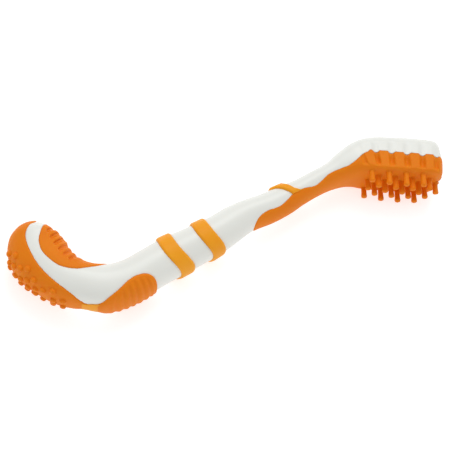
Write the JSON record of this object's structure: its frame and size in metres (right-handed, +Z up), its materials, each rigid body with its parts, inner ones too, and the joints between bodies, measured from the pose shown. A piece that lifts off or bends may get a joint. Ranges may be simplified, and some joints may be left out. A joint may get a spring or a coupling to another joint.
{
  "type": "pet toothbrush",
  "caption": "Two-ended rigid pet toothbrush with a pegged soft head, a hooked end with a nubbed sole and a slotted gum pad, and soft grip bands on the handle.",
  "frame": {"origin": "middle of the brush's footprint, on the surface that it lies on with one side down", "axes": "+X from the hooked massager end to the nose of the brush head, along the head; +Y from the pegs to the back of the head; +Z up, across the brush's thickness"},
  "size_m": [0.214, 0.1024, 0.025],
  "materials": {
    "rigid_white": "satin moulded",
    "soft_orange": "soft matte moulded",
    "soft_amber": "soft matte moulded, thin over white"
  },
  "bodies": {
    "root": {"handle_body": "rigid_white", "gum_pad": "soft_orange", "sole_massager": "soft_orange", "sole_bridge": "soft_amber", "heel_grip": "soft_orange", "rear_band": "soft_amber", "front_band": "soft_amber", "neck_sleeve": "soft_orange", "neck_strap": "soft_amber", "head_bumper": "soft_orange", "bristle_bed": "soft_orange"}
  },
  "joints": []
}
